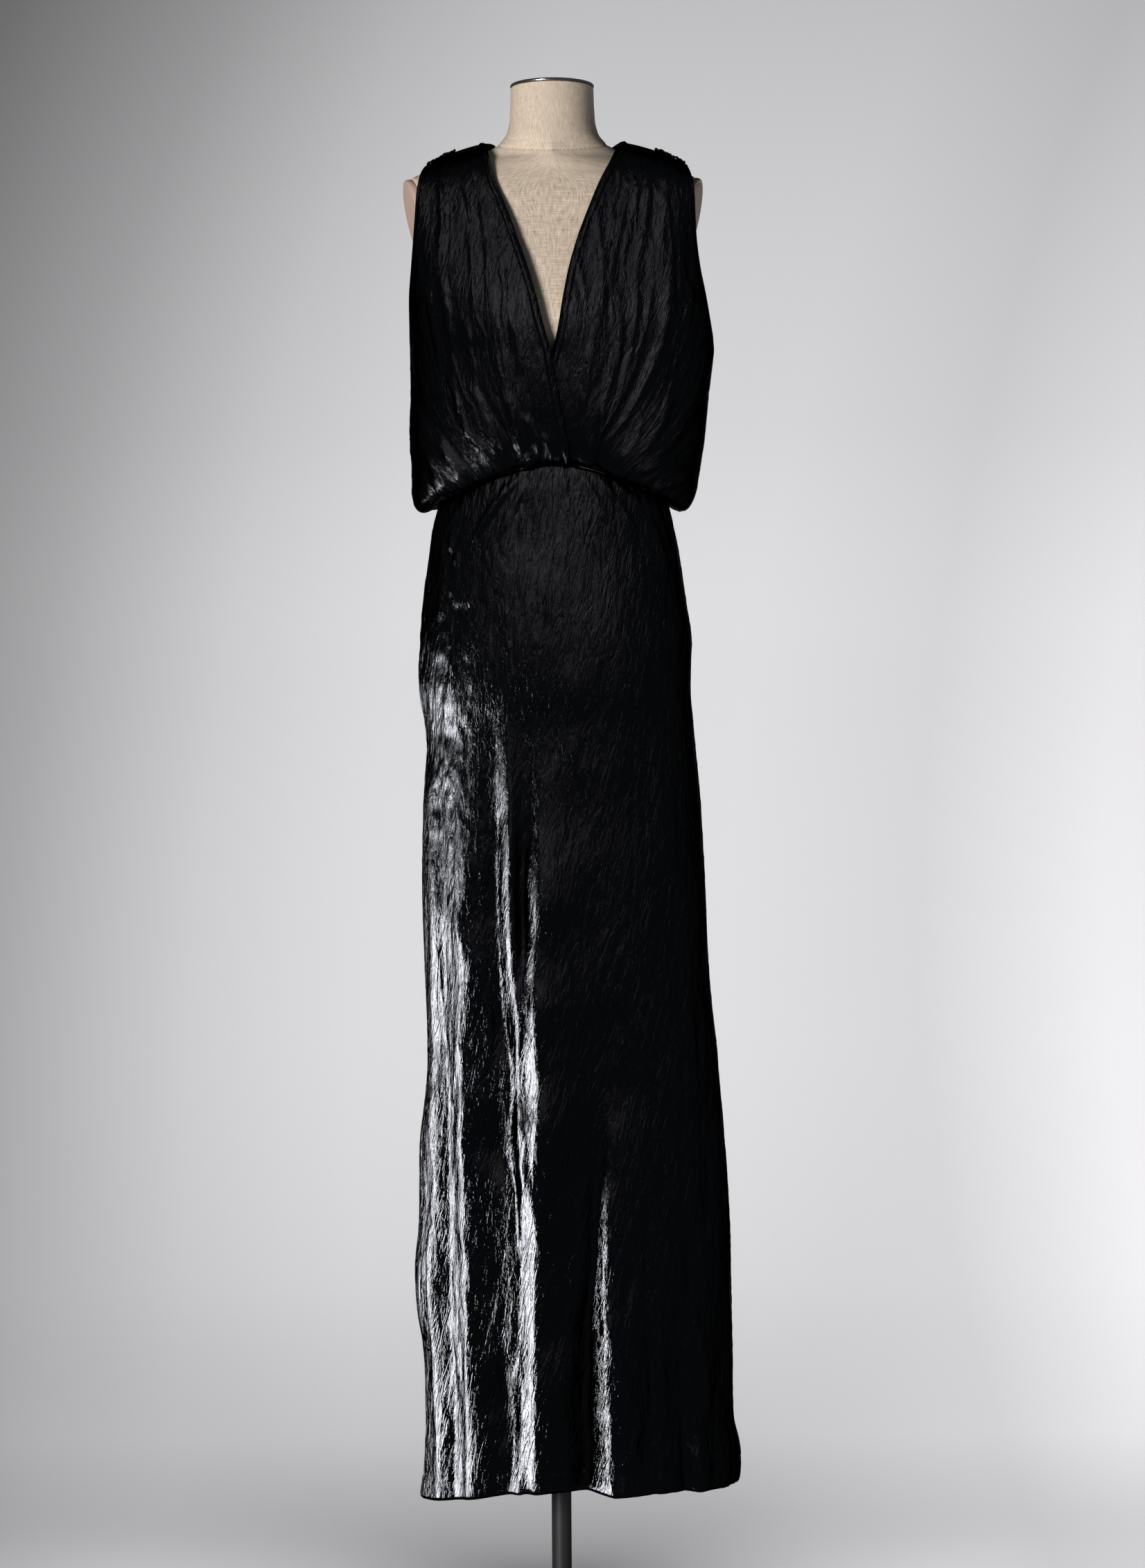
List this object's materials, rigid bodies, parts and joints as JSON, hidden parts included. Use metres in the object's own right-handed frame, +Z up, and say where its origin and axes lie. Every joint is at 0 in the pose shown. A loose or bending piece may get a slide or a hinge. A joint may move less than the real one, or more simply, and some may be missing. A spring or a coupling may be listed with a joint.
{
  "type": "maxi dress on dress form",
  "caption": "Sleeveless velvet maxi dress with a wrapped V neck, gathered waist and long straight skirt, worn by a limbless linen dress form on a pole stand.",
  "frame": {"origin": "centre of the stand's underside, on the pole's axis", "axes": "+Z up along the pole, the dress's front faces -Y, +X on the viewer's right (the wearer's left)"},
  "size_m": [0.419, 0.38, 1.9948],
  "materials": {
    "velvet": "crushed pile velvet, black with silvery sheen",
    "linen": "plain weave linen, natural beige",
    "chrome": "polished",
    "arm_plate": "satin, pinkish beige",
    "black_paint": "satin black"
  },
  "bodies": {
    "root": {"bodice_front_right": "velvet", "bodice_front_left": "velvet", "bodice_back": "velvet", "skirt_front": "velvet", "skirt_back": "velvet", "form_body": "linen", "neck_cap": "chrome", "arm_plate_left": "arm_plate", "arm_plate_right": "arm_plate", "pole": "black_paint", "base_socket": "black_paint", "base_disc": "black_paint"}
  },
  "joints": []
}
